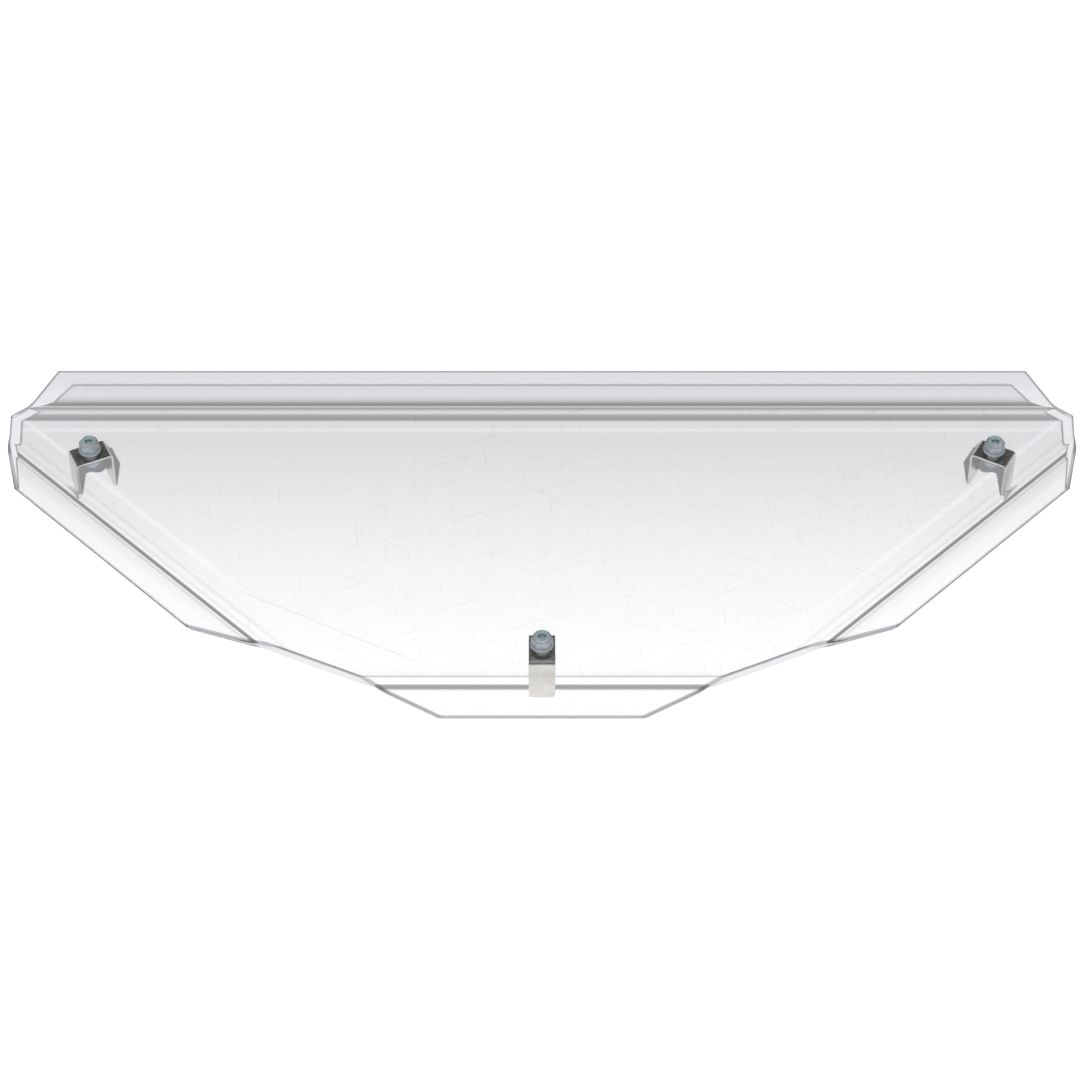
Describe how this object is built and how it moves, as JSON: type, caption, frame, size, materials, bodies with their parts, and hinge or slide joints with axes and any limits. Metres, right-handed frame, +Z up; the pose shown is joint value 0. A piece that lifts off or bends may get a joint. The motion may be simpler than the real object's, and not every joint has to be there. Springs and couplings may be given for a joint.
{
  "type": "sneeze guard",
  "caption": "Clear folded acrylic sneeze guard with bent edge flanges, carried on swivelling steel strap clips that straddle a buffet rail.",
  "frame": {"origin": "middle of the footprint, at the level of the clip feet", "axes": "+X to the right, +Y to the back (the edge that folds up), +Z up"},
  "size_m": [0.775, 0.3128, 0.0557],
  "materials": {
    "clear_sheet": "clear polished acrylic",
    "clip_steel": "bright rolled stainless strap",
    "plated_steel": "bright zinc plate",
    "nylon": "moulded nylon"
  },
  "bodies": {
    "guard": {"guard_panel": "clear_sheet", "front_bolt": "plated_steel", "front_lower_washer": "plated_steel", "front_upper_washer": "plated_steel", "front_lock_nut": "plated_steel", "front_nylon_ring": "nylon", "left_bolt": "plated_steel", "left_lower_washer": "plated_steel", "left_upper_washer": "plated_steel", "left_lock_nut": "plated_steel", "left_nylon_ring": "nylon", "right_bolt": "plated_steel", "right_lower_washer": "plated_steel", "right_upper_washer": "plated_steel", "right_lock_nut": "plated_steel", "right_nylon_ring": "nylon"},
    "front_clip": {"front_clip": "clip_steel"},
    "left_clip": {"left_clip": "clip_steel"},
    "right_clip": {"right_clip": "clip_steel"}
  },
  "joints": [
    {"name": "front_clip_swivel", "type": "hinge", "parent": "guard", "child": "front_clip", "pos_m": [0, -0.1054, 0.0315], "axis": [0, 0, 1], "continuous": true},
    {"name": "left_clip_swivel", "type": "hinge", "parent": "guard", "child": "left_clip", "pos_m": [-0.326, 0.0871, 0.0315], "axis": [0, 0, 1], "continuous": true},
    {"name": "right_clip_swivel", "type": "hinge", "parent": "guard", "child": "right_clip", "pos_m": [0.326, 0.0871, 0.0315], "axis": [0, 0, 1], "continuous": true}
  ]
}
